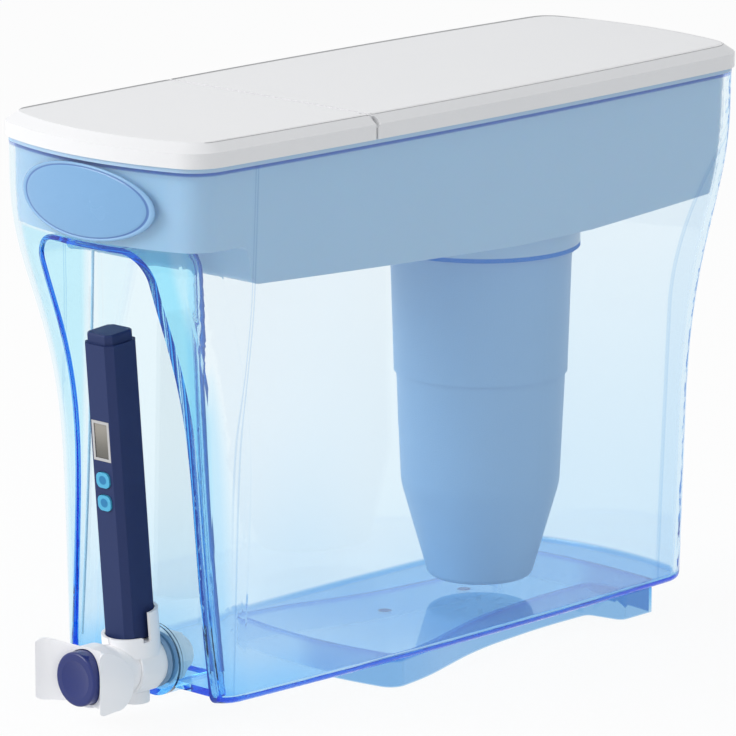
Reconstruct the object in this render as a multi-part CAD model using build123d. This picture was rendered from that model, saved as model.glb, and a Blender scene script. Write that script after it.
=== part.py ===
from build123d import *
import math
import os

# Gravity water filter with tap, for a fridge shelf or a worktop.
# Millimetres. +Z is up and the tap is towards -Y. The origin lies on the shelf, under the middle of the outline.

# Outline of the rim and the lid, seen from above: sides and ends bow outwards, and the corners are round
side_bow = 4.9
front_bow = 12.8
rear_bow = 9.4
front_corner = 17.4
rear_corner = 18.2

# Tank wall: it leans out sideways all the way up, and its ends sweep out below the rim
rim_z = 256.5
floor_under_z = 13.5
floor_thickness = 3.0
tank_wall = 2.5
tank_floor_half_width = 56.0
tank_rim_half_width = 67.5
tank_floor_front_y = -156.2
tank_rim_front_y = -183.0
tank_floor_rear_y = 168.3
tank_rim_rear_y = 192.0
flare_start_z = 75.0
flare_end_z = 233.0
flare_lead = 1.75
tank_bottom_round = 4.0
tank_section_count = 11

# Front alcove, open at the front and below
alcove_top_z = 217.7
alcove_half_width_top = 33.7
alcove_half_width_middle = 37.2
alcove_half_width_bottom = 45.0
alcove_middle_z = 95.0
alcove_bottom_z = 5.0
alcove_top_corner = 13.0
alcove_back_edge = 5.0
# The alcove's back wall leans, and the tap's seat stands a little proud of its lower end
tap_seat_y = -141.0
alcove_back_top_y = tap_seat_y - 3.7
alcove_back_low_y = tap_seat_y + 1.5

# Foot skirt under the floor, narrow in the middle
foot_wall = 2.2
foot_front_y = -45.4
foot_rear_y = 146.6
# Right-hand corners of the outline from front to rear, each with the radius that rounds it
foot_corners = (
    ((52.0, -39.3), 8.0),
    ((48.5, -14.0), 150.0),
    ((33.4, 35.0), 200.0),
    ((28.5, 84.0), 300.0),
    ((28.5, 116.5), 4.0),
    ((47.2, 120.3), 4.5),
    ((46.8, 142.9), 2.5),
)

# Upper reservoir, hanging on the tank's rim by its flange
reservoir_gap = 1.0
reservoir_wall = 2.2
reservoir_flange = 2.0
reservoir_shallow_z = 220.8
reservoir_step_top_y = -140.6
reservoir_step_low_y = -136.7
reservoir_step_low_z = 203.0
reservoir_low_z = 195.6
reservoir_low_front_y = 31.0
reservoir_low_rear_y = 81.0
reservoir_rear_z = 201.0
reservoir_step_round = 5.0

# Badge on the front of the tank
badge_half_width = 42.0
badge_half_height = 15.0
badge_z = 237.5
badge_thickness = 0.8

# Lid: a plain rim, a bevel and a flat top
lid_side_overhang = 1.1
lid_end_overhang = 1.0
lid_rim_height = 6.7
lid_bevel_height = 3.9
lid_bevel_width = 5.0
lid_wall = 2.2
lid_lip_depth = 4.5
lid_lip_wall = 2.0
lid_lip_gap = 0.6
hinge_y = -68.0
hinge_barrel_radius = 2.6
hinge_trough_gap = 0.3
hinge_barrel_half_length = 58.2
hinge_ear_gap = 0.4
hinge_ear_width = 4.2
hinge_pin_radius = 1.1
hinge_pin_gap = 0.08
hinge_pin_length = 9.0
hinge_pin_recess = 0.5
hinge_arm_length = 6.5
hinge_arm_drop = 1.0
hinge_sink = 0.1
lid_seam_gap = 2.3
lid_rim_seam = 1.2

# Filter, screwed up into the reservoir's collar
filter_y = 71.3
gasket_top_z = 184.0
gasket_thickness = 2.0
gasket_radius = 46.0
filter_flange = 2.0
filter_flange_radius = 43.6
filter_top_radius = 42.2
filter_seam_radius = 40.4
filter_seam_z = 122.5
filter_seam_step = 1.0
filter_waist_radius = 37.0
filter_waist_z = 69.0
filter_waist_round = 30.0
filter_bottom_radius = 24.1
filter_bottom_z = 24.0
filter_bottom_round = 4.0
filter_wall = 2.0
filter_spigot = 5.5
filter_neck_radius = 36.6
filter_neck_height = 14.0
filter_neck_wall = 2.2
filter_fit = 0.3
collar_hole_gap = 0.6
collar_wall = 2.2
screen_thickness = 1.6
screen_depth = 1.4
screen_ledge = 1.4
screen_slots = 10
screen_slot_width = 3.0
screen_slot_length = 17.0
screen_slot_middle = 19.8
spreader_thickness = 6.0
membrane_thickness = 1.0
outlet_slots = 8
outlet_slot_width = 2.4
outlet_slot_length = 8.4
outlet_slot_middle = 12.0
membrane_inset = 2.0

# Tap, on a horizontal axis
tap_axis_z = 24.5
seat_pad_radius = 16.5
seat_pad_thickness = 4.0
sump_wall = 2.5
sump_length = 28.0
tap_hole_gap = 0.4
washer_thickness = 2.2
outer_washer_radius = 12.6
inner_washer_radius = 12.0
shank_radius = 8.0
shank_length = 21.0
shank_bore_radius = 6.0
nut_across_flats = 22.0
nut_thickness = 7.0
tap_body_radius = 11.7
valve_seat_y = tap_seat_y - 3.0
valve_seat_thickness = 2.0
valve_port_radius = 3.6
spout_y = tap_seat_y - 11.5
spout_radius = 6.8
spout_bore_radius = 4.8
spout_low_z = 7.7
valve_chamber_radius = 8.6
valve_chamber_length = 14.5
bulkhead_thickness = 2.0
stem_radius = 1.8
stem_gap = 0.3
stem_end_room = 0.5
seal_radius = 5.0
seal_thickness = 3.0
stem_head_radius = 3.0
stem_head_thickness = 1.5
spring_chamber_radius = 9.0
spring_radius = 6.6
spring_wire_radius = 0.5
spring_turns = 4
spring_end_gap = 0.1
spring_wire_sides = 8
button_radius = 12.3
button_gap = 0.35
button_face_y = tap_seat_y - 47.7
button_length = 9.3
button_travel = 5.0
button_end_room = 2.0
button_wall = 1.8
button_dish = 1.0
button_dish_half_width = 8.6
button_edge_round = 1.2
button_boss_radius = 3.6

# Finger grip around the button: a saddle whose two wings come forward
grip_half_width = 20.6
grip_rear_half_width = 16.2
grip_tip_y = tap_seat_y - 52.3
grip_hollow_y = tap_seat_y - 41.2
grip_rear_y = tap_seat_y - 27.4
grip_low_z = 12.2
grip_top_z = 41.0
grip_rear_low_z = 22.5
grip_rear_top_z = 26.5
grip_top_swell = (tap_seat_y - 42.5, 38.6)
grip_low_swell = (tap_seat_y - 30.6, 15.0)
grip_low_turn_y = tap_seat_y - 40.0
grip_corner = 4.5
grip_ring_radius = 13.9

# Meter, leaning forward in its holder
meter_foot_y = tap_seat_y - 13.6
meter_foot_z = 38.0
meter_lean = 4.6
meter_width = 18.0
meter_depth = 19.0
meter_chamfer = 3.0
meter_seam = 36.0
meter_casing_top = 136.4
meter_wall = 1.7
meter_fit = 0.2
meter_neck_length = 8.0
meter_cavity_wall = 2.3
meter_floor = 4.0
probe_cap_chamfer = 1.0
battery_cap_height = 4.6
battery_cap_step = 1.2
battery_cap_chamfer = 0.8
battery_cap_plug = 5.0
display_middle = 92.5
display_height = 18.5
display_width = 11.0
display_border = 1.4
display_depth = 1.0
display_screen_depth = 0.6
key_middles = {"power_button": 74.7, "hold_button": 64.2}
key_width = 8.0
key_height = 7.0
key_corner = 2.6
key_thickness = 2.4
key_rise = 0.8
key_gap = 0.25
probe_radius = 0.8
probe_spacing = 6.0
probe_length = 26.0
probe_cover = 1.0
board_thickness = 1.2
board_offset = 3.0
cell_radius = 5.75
cell_height = 5.4

# Holder: a cup on a clip around the tap
cup_inner_radius = 11.5
cup_wall = 1.5
cup_front_height = 2.0
cup_back_height = 13.0
cup_skirt = 8.0
cup_floor_gap = 0.2
cup_notch_width = 4.0
clip_wall = 1.4
clip_gap = 0.1
clip_front_length = 7.0
clip_rear_length = 6.0
drain_hole_radius = 0.9

# Values that follow from the ones above
floor_top_z = floor_under_z + floor_thickness
lid_half_width = tank_rim_half_width + lid_side_overhang
lid_front_y = tank_rim_front_y - lid_end_overhang
lid_rear_y = tank_rim_rear_y + lid_end_overhang
lid_low_z = rim_z + reservoir_flange
lid_bevel_z = lid_low_z + lid_rim_height
lid_top_z = lid_bevel_z + lid_bevel_height
hinge_z = lid_top_z - hinge_barrel_radius - hinge_sink
hinge_ear_start = hinge_barrel_half_length + hinge_ear_gap
hinge_ear_end = hinge_ear_start + hinge_ear_width
gasket_low_z = gasket_top_z - gasket_thickness
filter_flange_low_z = gasket_low_z - filter_flange
filter_neck_top_z = gasket_low_z + filter_neck_height
body_seat_y = tap_seat_y - washer_thickness
button_pocket_y = button_face_y + button_length + button_travel + button_end_room
chamber_front_y = valve_seat_y - valve_seat_thickness - valve_chamber_length
bulkhead_front_y = chamber_front_y - bulkhead_thickness
# Size of a shape that takes in everything, and how far a cutting or joining shape runs past its mark
reach = 500.0
past = 1.0


def slab(low, high):
    """Box between two corners given as (x, y, z)."""
    size = [high[i] - low[i] for i in range(3)]
    middle = [(high[i] + low[i]) / 2 for i in range(3)]
    return Pos(*middle) * Box(*size)


def rod_y(radius, front_y, rear_y, z=tap_axis_z):
    """Cylinder along Y, on the tap's axis unless z says otherwise."""
    return Pos(0, (front_y + rear_y) / 2, z) * Rot(90, 0, 0) * Cylinder(radius, rear_y - front_y)


def rod_x(radius, low_x, high_x, y, z):
    """Cylinder along X."""
    return Pos((low_x + high_x) / 2, y, z) * Rot(0, 90, 0) * Cylinder(radius, high_x - low_x)


def disc(radius, low_z, high_z):
    """Cylinder on the filter's axis."""
    return Pos(0, filter_y, (low_z + high_z) / 2) * Cylinder(radius, high_z - low_z)


def turned(points):
    """Solid turned about the filter's axis from its half section, as (radius, z)."""
    section = make_face(Plane.XZ * Polyline(*points, close=True))
    return Pos(0, filter_y, 0) * revolve(section, Axis.Z)


def level_outline(z, half_width, front_y, rear_y, inset=0.0):
    """Outline with bowed sides and ends and round corners, on a level at height z."""
    share = half_width / lid_half_width
    side = half_width - inset
    front = front_y + inset
    rear = rear_y - inset
    corner_x = side - side_bow * share
    front_end = front + front_bow * share
    rear_end = rear - rear_bow * share
    middle_y = (front_end + rear_end) / 2
    edges = [
        ThreePointArc((-corner_x, front_end), (0, front), (corner_x, front_end)),
        ThreePointArc((corner_x, front_end), (side, middle_y), (corner_x, rear_end)),
        ThreePointArc((corner_x, rear_end), (0, rear), (-corner_x, rear_end)),
        ThreePointArc((-corner_x, rear_end), (-side, middle_y), (-corner_x, front_end)),
    ]
    face = make_face(edges)
    face = fillet(face.vertices().filter_by(lambda v: v.Y < middle_y), front_corner * share - inset)
    face = fillet(face.vertices().filter_by(lambda v: v.Y > middle_y), rear_corner * share - inset)
    return Pos(0, 0, z) * face


def flare(z):
    """Share of the end walls' outward sweep that is reached at height z."""
    share = (z - flare_start_z) / (flare_end_z - flare_start_z)
    share = min(max(share, 0.0), 1.0)
    return math.sin(math.pi / 2 * share**flare_lead) ** 2


def tank_outline(z, inset=0.0):
    """Level outline of the tank's outer wall at height z, or of a wall inset from it."""
    rise = (z - floor_under_z) / (rim_z - floor_under_z)
    half_width = tank_floor_half_width + (tank_rim_half_width - tank_floor_half_width) * rise
    front_y = tank_floor_front_y + (tank_rim_front_y - tank_floor_front_y) * flare(z)
    rear_y = tank_floor_rear_y + (tank_rim_rear_y - tank_floor_rear_y) * flare(z)
    return level_outline(z, half_width, front_y, rear_y, inset)


def tank_form(low_z, high_z, inset=0.0):
    """Solid of the tank's shape between two heights."""
    step = (high_z - low_z) / (tank_section_count - 1)
    return loft([tank_outline(low_z + step * i, inset) for i in range(tank_section_count)])


def alcove_form(grow=0.0):
    """The alcove's space, or that space grown by a wall: a drafted arch with a leaning back wall."""
    top = alcove_top_z + grow
    side_top = alcove_half_width_top + grow
    side_middle = alcove_half_width_middle + grow
    side_bottom = alcove_half_width_bottom + grow
    edges = [
        ThreePointArc((side_bottom, alcove_bottom_z), (side_middle, alcove_middle_z), (side_top, top)),
        Line((side_top, top), (-side_top, top)),
        ThreePointArc((-side_top, top), (-side_middle, alcove_middle_z), (-side_bottom, alcove_bottom_z)),
        Line((-side_bottom, alcove_bottom_z), (side_bottom, alcove_bottom_z)),
    ]
    arch = make_face(edges)
    arch = fillet(arch.vertices().filter_by(lambda v: v.Y > top - past), alcove_top_corner + grow)
    block = extrude(Plane.XZ * arch, reach)
    lean = (alcove_back_top_y - alcove_back_low_y) / (alcove_top_z - floor_under_z)
    back = Plane((0, alcove_back_low_y, floor_under_z), x_dir=(1, 0, 0), z_dir=(0, 1, -lean)).offset(grow)
    block = split(block, back, keep=Keep.BOTTOM)
    back_face = block.faces().sort_by(Axis.Y)[-1]
    back_edges = [e for e in back_face.edges() if e.center().Z > alcove_bottom_z + past]
    return fillet(back_edges, alcove_back_edge + grow)


def tank_foot():
    """Thin wall that the tank stands on, wide at both ends and narrow between them."""
    right = [point for point, radius in foot_corners]
    left = [(-x, y) for x, y in right]
    edges = [
        ThreePointArc(left[0], (0, foot_front_y), right[0]),
        *Polyline(*right).edges(),
        ThreePointArc(right[-1], (0, foot_rear_y), left[-1]),
        *Polyline(*reversed(left)).edges(),
    ]
    outline = make_face(edges)
    for (x, y), radius in foot_corners:
        corners = [outline.vertices().sort_by_distance((side * x, y, 0))[0] for side in (-1, 1)]
        outline = fillet(corners, radius)
    inside = offset(outline, amount=-foot_wall)
    return extrude(outline, floor_under_z) - extrude(inside, floor_under_z)


def tank_body():
    """Clear tank with its alcove and the drain sump at the tap."""
    outer = tank_form(floor_under_z, rim_z)
    outer = fillet(outer.faces().sort_by(Axis.Z)[0].edges(), tank_bottom_round)
    inner = tank_form(floor_top_z, rim_z + past, tank_wall)
    inner = fillet(inner.faces().sort_by(Axis.Z)[0].edges(), tank_bottom_round - tank_wall)
    tank = outer - inner + (alcove_form(tank_wall) & outer)
    pad_rear_y = tap_seat_y + seat_pad_thickness
    sump_rear_y = tap_seat_y + sump_length
    sump = rod_y(seat_pad_radius, tap_seat_y + past, sump_rear_y)
    sump = sump & slab((-reach, -reach, 0), (reach, reach, floor_top_z))
    tank = tank + sump - alcove_form() + rod_y(seat_pad_radius, tap_seat_y, pad_rear_y)
    tank = tank - rod_y(seat_pad_radius - sump_wall, pad_rear_y, sump_rear_y - sump_wall)
    return tank - rod_y(shank_radius + tap_hole_gap, tap_seat_y - past, pad_rear_y + past)


def front_badge():
    """Plain oval plate that follows the front of the tank."""
    low_z = badge_z - badge_half_height - past
    high_z = badge_z + badge_half_height + past
    oval = Plane.XZ * (Pos(0, badge_z) * Ellipse(badge_half_width, badge_half_height))
    plate = tank_form(low_z, high_z, -badge_thickness) & extrude(oval, reach)
    return plate - tank_form(floor_under_z, rim_z)


def reservoir_side(rise=0.0):
    """Side view of everything above the reservoir's underside, raised by rise."""
    front = -reach
    rear = reach
    points = [
        (front, reservoir_shallow_z + rise),
        (reservoir_step_top_y + rise, reservoir_shallow_z + rise),
        (reservoir_step_low_y + rise, reservoir_step_low_z + rise),
        (reservoir_low_front_y, reservoir_low_z + rise),
        (reservoir_low_rear_y, reservoir_low_z + rise),
        (tank_rim_rear_y, reservoir_rear_z + rise),
        (rear, reservoir_rear_z + rise),
        (rear, reach),
        (front, reach),
    ]
    face = make_face(Polyline(*points, close=True))
    for y, z in points[1:3]:
        face = fillet(face.vertices().sort_by_distance((y, z, 0))[0], reservoir_step_round)
    return extrude(Plane.YZ * face, reach / 2, both=True)


def upper_reservoir():
    """Opaque tray that hangs in the tank's mouth, with a double-walled collar for the filter."""
    low_z = reservoir_low_z - past
    outer = tank_form(low_z, rim_z, tank_wall + reservoir_gap) & reservoir_side()
    flange = extrude(tank_outline(rim_z), reservoir_flange)
    inset = tank_wall + reservoir_gap + reservoir_wall
    inner = tank_form(low_z, lid_low_z + past, inset) & reservoir_side(reservoir_wall)
    hole_radius = filter_neck_radius + collar_hole_gap
    collar = disc(gasket_radius, gasket_top_z, reservoir_low_z + past)
    groove = disc(gasket_radius - collar_wall, gasket_top_z - past, reservoir_low_z)
    groove = groove - disc(hole_radius + collar_wall, gasket_top_z - 2 * past, reservoir_low_z + past)
    tray = outer + flange + collar - groove - inner
    return tray - disc(hole_radius, gasket_top_z - past, rim_z)


def lid_form(inset=0.0, top_z=lid_top_z):
    """Solid of the lid's outside, or of the hollow under it."""
    low = level_outline(lid_low_z, lid_half_width, lid_front_y, lid_rear_y, inset)
    edge_z = lid_bevel_z + top_z - lid_top_z
    edge = level_outline(edge_z, lid_half_width, lid_front_y, lid_rear_y, inset)
    top = level_outline(top_z, lid_half_width, lid_front_y, lid_rear_y, inset + lid_bevel_width)
    return extrude(low, edge_z - lid_low_z) + loft([edge, top], ruled=True)


def lid_shell():
    """Whole lid before it is parted at the seam."""
    return lid_form() - lid_form(lid_wall, lid_top_z - lid_wall)


def hinge_ears(grow, arm_drop):
    """Both ears of the hinge, or the room they need: a round end on an arm to the rear."""
    ears = []
    for side in (-1, 1):
        low_x, high_x = sorted((side * (hinge_ear_start - grow), side * (hinge_ear_end + grow)))
        radius = hinge_barrel_radius + grow
        ears.append(rod_x(radius, low_x, high_x, hinge_y, hinge_z))
        low = (low_x, hinge_y, hinge_z - radius)
        ears.append(slab(low, (high_x, hinge_y + hinge_arm_length, hinge_z + radius - arm_drop)))
    return ears


def hinge_pin_rods(radius, inner_x, outer_x):
    """Cylinders on the hinge axis at both sides."""
    left = rod_x(radius, -outer_x, -inner_x, hinge_y, hinge_z)
    return [left, rod_x(radius, inner_x, outer_x, hinge_y, hinge_z)]


def lid_flap():
    """Front part of the lid, which swings up about its rolled rear edge."""
    flap = lid_shell() & slab((-reach, -reach, 0), (reach, hinge_y, reach))
    flap = flap + rod_x(hinge_barrel_radius, -hinge_barrel_half_length, hinge_barrel_half_length, hinge_y, hinge_z)
    for room in hinge_ears(hinge_ear_gap, 0):
        flap = flap - room
    bore_inner_x = hinge_ear_end - 2 * hinge_pin_recess - hinge_pin_length
    for hole in hinge_pin_rods(hinge_pin_radius + hinge_pin_gap, bore_inner_x, hinge_ear_start):
        flap = flap - hole
    return flap


def lid_rear():
    """Rear part of the lid, with a locating lip, a cross wall at the seam and two hinge ears."""
    rear = lid_shell() & slab((-reach, hinge_y + lid_seam_gap, 0), (reach, reach, reach))
    rim_side = lid_shell() & slab((-reach, hinge_y + lid_rim_seam, 0), (reach, hinge_y + lid_seam_gap, reach))
    rim_inner = hinge_ear_end + 2 * hinge_ear_gap
    rear = rear + (rim_side - slab((-rim_inner, -reach, 0), (rim_inner, reach, reach)))
    rear = rear - rod_x(lid_top_z - hinge_z + hinge_trough_gap, -reach, reach, hinge_y, hinge_z)
    wall_y = hinge_y + hinge_barrel_radius + 2 * hinge_trough_gap
    cross = slab((-reach, wall_y, lid_low_z), (reach, wall_y + lid_wall, lid_top_z - past))
    rear = rear + (cross & lid_form())
    lip_inset = tank_wall + reservoir_gap + reservoir_wall + lid_lip_gap
    lip_top_z = lid_top_z - lid_wall
    lip = extrude(tank_outline(rim_z, lip_inset), lip_top_z - rim_z + past)
    lip = lip - extrude(tank_outline(rim_z, lip_inset + lid_lip_wall), lip_top_z - rim_z + past)
    lip = Pos(0, 0, lid_low_z - lid_lip_depth - rim_z) * lip
    rear = rear + (lip & slab((-reach, wall_y, 0), (reach, reach, lip_top_z + past)) & lid_and_below())
    trough = hinge_barrel_radius + hinge_trough_gap
    rear = rear - rod_x(trough, -hinge_ear_start, hinge_ear_start, hinge_y, hinge_z)
    for ear in hinge_ears(0, hinge_arm_drop):
        rear = rear + ear
    for hole in hinge_pin_rods(hinge_pin_radius, hinge_ear_start - past, hinge_ear_end - hinge_pin_recess):
        rear = rear - hole
    return rear


def lid_and_below():
    """Room inside the lid's outside and straight below it, which trims the lip."""
    below = extrude(level_outline(0, lid_half_width, lid_front_y, lid_rear_y), lid_low_z)
    return below + lid_form()


def hinge_pins():
    """Two short pins, fast in the ears and free in the flap's rolled edge."""
    outer_x = hinge_ear_end - hinge_pin_recess
    return Compound(children=[s for rod in hinge_pin_rods(hinge_pin_radius, outer_x - hinge_pin_length, outer_x)
                              for s in rod.solids()])


def filter_gasket():
    """Flat sealing ring on the filter's flange."""
    hole = disc(filter_neck_radius + filter_fit, gasket_low_z - past, gasket_top_z + past)
    return disc(gasket_radius, gasket_low_z, gasket_top_z) - hole


def filter_upper_shell():
    """Upper housing: flange, neck and a slight taper down to the seam."""
    neck_inner = filter_neck_radius - filter_neck_wall
    ledge_z = filter_neck_top_z - screen_depth - screen_thickness
    points = [
        (neck_inner - screen_ledge, filter_flange_low_z),
        (filter_top_radius - filter_wall, filter_flange_low_z),
        (filter_seam_radius - filter_wall, filter_seam_z),
        (filter_seam_radius, filter_seam_z),
        (filter_top_radius, filter_flange_low_z),
        (filter_flange_radius, filter_flange_low_z),
        (filter_flange_radius, gasket_low_z),
        (filter_neck_radius, gasket_low_z),
        (filter_neck_radius, filter_neck_top_z),
        (neck_inner, filter_neck_top_z),
        (neck_inner, ledge_z),
        (neck_inner - screen_ledge, ledge_z),
    ]
    return turned(points)


def lower_form(inset, top_z):
    """Lower housing's outer shape, or a shape inset from it, up to top_z."""
    seam_radius = filter_seam_radius - filter_seam_step
    waist = (filter_waist_radius - inset, filter_waist_z)
    bottom = (filter_bottom_radius - inset, filter_bottom_z + inset)
    points = [(0, bottom[1]), bottom, waist, (seam_radius - inset, filter_seam_z)]
    face = make_face(Polyline(*points, (0, filter_seam_z), close=True))
    face = fillet(face.vertices().sort_by_distance((*waist, 0))[0], filter_waist_round)
    face = fillet(face.vertices().sort_by_distance((*bottom, 0))[0], filter_bottom_round - min(inset, filter_wall))
    body = Pos(0, filter_y, 0) * revolve(Plane.XZ * face, Axis.Z)
    return body & slab((-reach, -reach, 0), (reach, reach, top_z))


def filter_lower_shell():
    """Tapered lower housing with a spigot that plugs into the upper one, and a ring of outlet slots."""
    spigot_radius = filter_seam_radius - filter_wall - filter_fit
    shell = lower_form(0, filter_seam_z) - lower_form(filter_wall, filter_seam_z)
    low_z = filter_seam_z - filter_spigot / 2
    spigot = disc(spigot_radius, low_z, filter_seam_z + filter_spigot)
    spigot = spigot - disc(spigot_radius - filter_wall, low_z - past, filter_seam_z + filter_spigot + past)
    shell = shell + spigot
    slot = Pos(outlet_slot_middle, 0, filter_bottom_z + filter_wall / 2)
    slot = slot * Box(outlet_slot_length, outlet_slot_width, filter_wall + 2 * past)
    for i in range(outlet_slots):
        shell = shell - Pos(0, filter_y, 0) * Rot(0, 0, 360 / outlet_slots * i) * slot
    return shell


def filter_screen():
    """Slotted disc that lies on the neck's ledge."""
    radius = filter_neck_radius - filter_neck_wall - filter_fit
    top_z = filter_neck_top_z - screen_depth
    screen = disc(radius, top_z - screen_thickness, top_z)
    slot = Pos(screen_slot_middle, 0, top_z - screen_thickness / 2)
    slot = slot * Box(screen_slot_length, screen_slot_width, screen_thickness + 2 * past)
    for i in range(screen_slots):
        screen = screen - Pos(0, filter_y, 0) * Rot(0, 0, 360 / screen_slots * i) * slot
    return screen


def upper_inner_radius(z):
    """Inner radius of the upper housing at height z."""
    share = (z - filter_seam_z) / (filter_flange_low_z - filter_seam_z)
    return filter_seam_radius - filter_wall + (filter_top_radius - filter_seam_radius) * share


def upper_plug(low_z, high_z):
    """Plug that fills the upper housing between two heights, with a little room around it."""
    low_radius = upper_inner_radius(low_z) - filter_fit
    high_radius = upper_inner_radius(high_z) - filter_fit
    return turned([(0, low_z), (low_radius, low_z), (high_radius, high_z), (0, high_z)])


def flow_spreader():
    """Foam disc that spreads the water over the carbon."""
    high_z = filter_flange_low_z - filter_fit
    return upper_plug(high_z - spreader_thickness, high_z)


def carbon_bed():
    """Carbon granules in the upper housing."""
    high_z = filter_flange_low_z - 2 * filter_fit - spreader_thickness
    return upper_plug(filter_seam_z + filter_spigot + filter_fit, high_z)


def membrane_low_z():
    """Underside of the fine disc, on the housing's bottom."""
    return filter_bottom_z + filter_wall + filter_fit


def resin_bed():
    """Ion-exchange resin in the lower housing, up to the carbon."""
    low_z = membrane_low_z() + membrane_thickness + filter_fit
    bed = lower_form(filter_wall + filter_fit, filter_seam_z - filter_spigot / 2 - filter_fit)
    bed = bed & slab((-reach, -reach, low_z), (reach, reach, reach))
    neck_radius = filter_seam_radius - 2 * filter_wall - 2 * filter_fit
    return bed + disc(neck_radius, filter_seam_z - filter_spigot, filter_seam_z + filter_spigot)


def outlet_membrane():
    """Fine disc over the outlet slots."""
    low_z = membrane_low_z()
    return disc(filter_bottom_radius - filter_wall - membrane_inset, low_z, low_z + membrane_thickness)


def grip_form():
    """Saddle grip: a block hollowed at the front by a wide arc and tapered to the rear in side view."""
    plan_edges = [
        ThreePointArc((-grip_half_width, grip_tip_y), (0, grip_hollow_y), (grip_half_width, grip_tip_y)),
        Polyline((grip_half_width, grip_tip_y), (grip_rear_half_width, grip_rear_y),
                 (-grip_rear_half_width, grip_rear_y), (-grip_half_width, grip_tip_y)),
    ]
    plan = extrude(make_face(plan_edges), reach / 4)
    front_y = grip_tip_y - past
    side_edges = [
        Line((front_y, grip_low_z), (front_y, grip_top_z)),
        ThreePointArc((front_y, grip_top_z), grip_top_swell, (grip_rear_y, grip_rear_top_z)),
        Line((grip_rear_y, grip_rear_top_z), (grip_rear_y, grip_rear_low_z)),
        ThreePointArc((grip_rear_y, grip_rear_low_z), grip_low_swell, (grip_low_turn_y, grip_low_z)),
        Line((grip_low_turn_y, grip_low_z), (front_y, grip_low_z)),
    ]
    side = make_face(side_edges)
    tips = side.vertices().filter_by(lambda v: v.X < grip_tip_y)
    side = fillet(tips, grip_corner)
    return plan & extrude(Plane.YZ * side, reach / 4, both=True)


def grip_front_room():
    """Everything in front of the saddle's hollow arc, which trims the ring around the button."""
    front = ThreePointArc((-grip_half_width, grip_tip_y), (0, grip_hollow_y), (grip_half_width, grip_tip_y))
    back = Polyline((grip_half_width, grip_tip_y), (grip_half_width, -reach), (-grip_half_width, -reach),
                    (-grip_half_width, grip_tip_y))
    return extrude(make_face([front, back]), reach / 4)


def tap_body():
    """Tap moulding: shank, valve seat, chamber, spout, spring pocket and finger grip."""
    shank = rod_y(shank_radius, body_seat_y - past, body_seat_y + shank_length)
    barrel = rod_y(tap_body_radius, grip_rear_y, body_seat_y)
    ring_rear_y = button_pocket_y - button_end_room
    ring = rod_y(grip_ring_radius, grip_tip_y, ring_rear_y)
    cone_length = grip_rear_y - ring_rear_y
    cone = Pos(0, grip_rear_y - cone_length / 2, tap_axis_z) * Rot(90, 0, 0)
    cone = cone * Cone(tap_body_radius, grip_ring_radius, cone_length)
    spout = Pos(0, spout_y, (spout_low_z + tap_axis_z) / 2) * Cylinder(spout_radius, tap_axis_z - spout_low_z)
    body = grip_form() + (ring - grip_front_room()) + cone + barrel + shank + spout
    body = body - rod_y(button_radius + button_gap, grip_tip_y - past, button_pocket_y)
    body = body - rod_y(spring_chamber_radius, button_pocket_y - past, bulkhead_front_y)
    body = body - rod_y(stem_radius + stem_gap, bulkhead_front_y - past, chamber_front_y + past)
    body = body - rod_y(valve_chamber_radius, chamber_front_y, valve_seat_y - valve_seat_thickness)
    body = body - rod_y(valve_port_radius, chamber_front_y, valve_seat_y + past)
    body = body - rod_y(shank_bore_radius, valve_seat_y, body_seat_y + shank_length + past)
    bore = Pos(0, spout_y, (spout_low_z - past + tap_axis_z) / 2)
    return body - bore * Cylinder(spout_bore_radius, tap_axis_z - spout_low_z + past)


def washer(radius, front_y):
    """Flat rubber washer on the tap's shank."""
    ring = rod_y(radius, front_y, front_y + washer_thickness)
    return ring - rod_y(shank_radius + stem_gap, front_y - past, front_y + washer_thickness + past)


def outer_washer():
    """Washer between the tap and the tank's wall."""
    return washer(outer_washer_radius, body_seat_y)


def inner_washer():
    """Washer under the nut, inside the tank."""
    return washer(inner_washer_radius, tap_seat_y + seat_pad_thickness)


def tap_nut():
    """Hexagonal nut on the shank."""
    front_y = tap_seat_y + seat_pad_thickness + washer_thickness
    hexagon = RegularPolygon(nut_across_flats / 2, 6, major_radius=False)
    nut = extrude(Plane.XZ.offset(-front_y - nut_thickness) * (Pos(0, tap_axis_z) * hexagon), nut_thickness)
    return nut - rod_y(shank_radius, front_y - past, front_y + nut_thickness + past)


def push_button():
    """Navy button: a dished cap with a skirt and a boss for the stem."""
    rear_y = button_face_y + button_length
    button = rod_y(button_radius, button_face_y, rear_y)
    button = fillet(button.edges().group_by(Axis.Y)[0], button_edge_round)
    dish_radius = (button_dish_half_width**2 + button_dish**2) / (2 * button_dish)
    ball = Pos(0, button_face_y + button_dish - dish_radius, tap_axis_z) * Sphere(dish_radius)
    inside_y = button_face_y + button_dish + button_wall
    inside = rod_y(button_radius - button_wall, inside_y, rear_y + past)
    boss = rod_y(button_boss_radius, inside_y - button_wall / 2, rear_y)
    return button - ball - inside + boss - rod_y(stem_radius, stem_front_y(), rear_y + past)


def stem_front_y():
    """Front end of the valve stem, inside the button's boss."""
    return button_face_y + button_dish + button_wall + stem_end_room


def stem_head_y():
    """Front face of the stem's head, behind the seal."""
    return valve_seat_y + seal_thickness


def valve_stem():
    """Rod from the button to the seal, with a head that carries the seal."""
    head_y = stem_head_y()
    rod = rod_y(stem_radius, stem_front_y(), head_y + stem_head_thickness)
    return rod + rod_y(stem_head_radius, head_y, head_y + stem_head_thickness)


def valve_seal():
    """Rubber disc that the spring pulls against the tank side of the valve seat."""
    return rod_y(seal_radius, valve_seat_y, stem_head_y()) - rod_y(stem_radius, valve_seat_y - past, stem_head_y() + past)


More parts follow.
